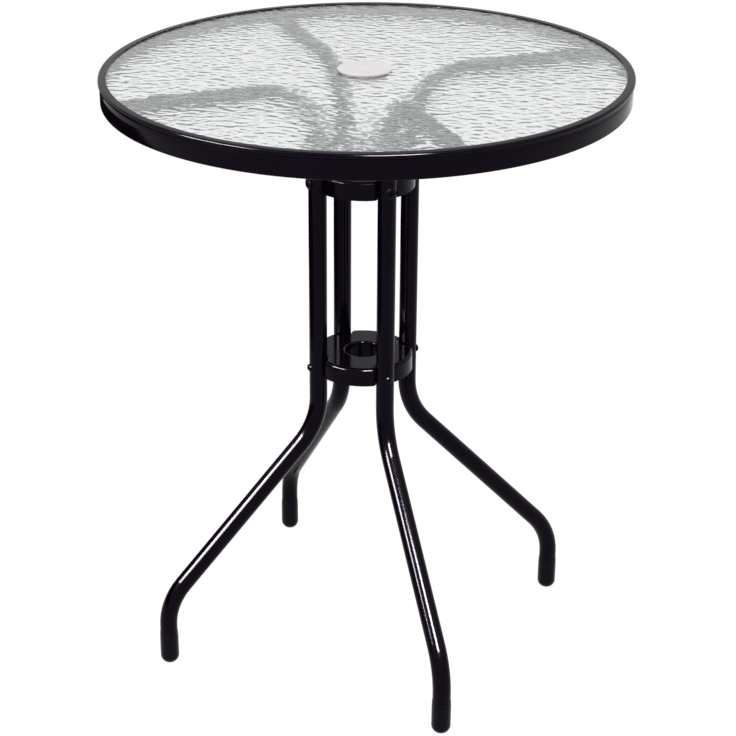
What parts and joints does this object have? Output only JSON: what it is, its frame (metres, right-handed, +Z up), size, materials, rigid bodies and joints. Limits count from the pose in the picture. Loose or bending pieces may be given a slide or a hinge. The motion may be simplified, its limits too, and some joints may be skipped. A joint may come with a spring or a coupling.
{
  "type": "umbrella table",
  "caption": "Round patio umbrella table: rippled glass in a black steel rim, bent tube legs bolted to pressed rings, and a lift-out plug in the umbrella hole.",
  "frame": {"origin": "on the floor under the middle of the top", "axes": "+Z up; the four uprights stand on the diagonals, so the gaps between them face X and Y"},
  "size_m": [0.6, 0.6, 0.7274],
  "materials": {
    "black_powder_coat": "semi-gloss black powder coat",
    "rippled_glass": "clear tempered glass, rippled",
    "foot_plastic": "satin black plastic",
    "pale_plastic": "pale translucent plastic",
    "black_screws": "gloss black",
    "zinc_plate": "zinc plated",
    "clear_rubber": "soft, matt"
  },
  "bodies": {
    "table": {"rim_hoop": "black_powder_coat", "glass_top": "rippled_glass", "hole_grommet": "pale_plastic", "upper_ring": "black_powder_coat", "lower_ring": "black_powder_coat", "upper_screws": "black_screws", "lower_screws": "black_screws", "arm_screws": "black_screws", "upper_nuts": "zinc_plate", "lower_nuts": "zinc_plate", "leg_back_right": "black_powder_coat", "rim_peg_back_right": "zinc_plate", "glass_pad_back_right": "clear_rubber", "foot_cap_back_right": "foot_plastic", "leg_back_left": "black_powder_coat", "rim_peg_back_left": "zinc_plate", "glass_pad_back_left": "clear_rubber", "foot_cap_back_left": "foot_plastic", "leg_front_left": "black_powder_coat", "rim_peg_front_left": "zinc_plate", "glass_pad_front_left": "clear_rubber", "foot_cap_front_left": "foot_plastic", "leg_front_right": "black_powder_coat", "rim_peg_front_right": "zinc_plate", "glass_pad_front_right": "clear_rubber", "foot_cap_front_right": "foot_plastic"},
    "cap": {"hole_cap": "pale_plastic"}
  },
  "joints": [
    {"name": "cap_lift", "type": "slide", "parent": "table", "child": "cap", "axis": [0, 0, 1], "range_m": [0, 0.04]}
  ]
}
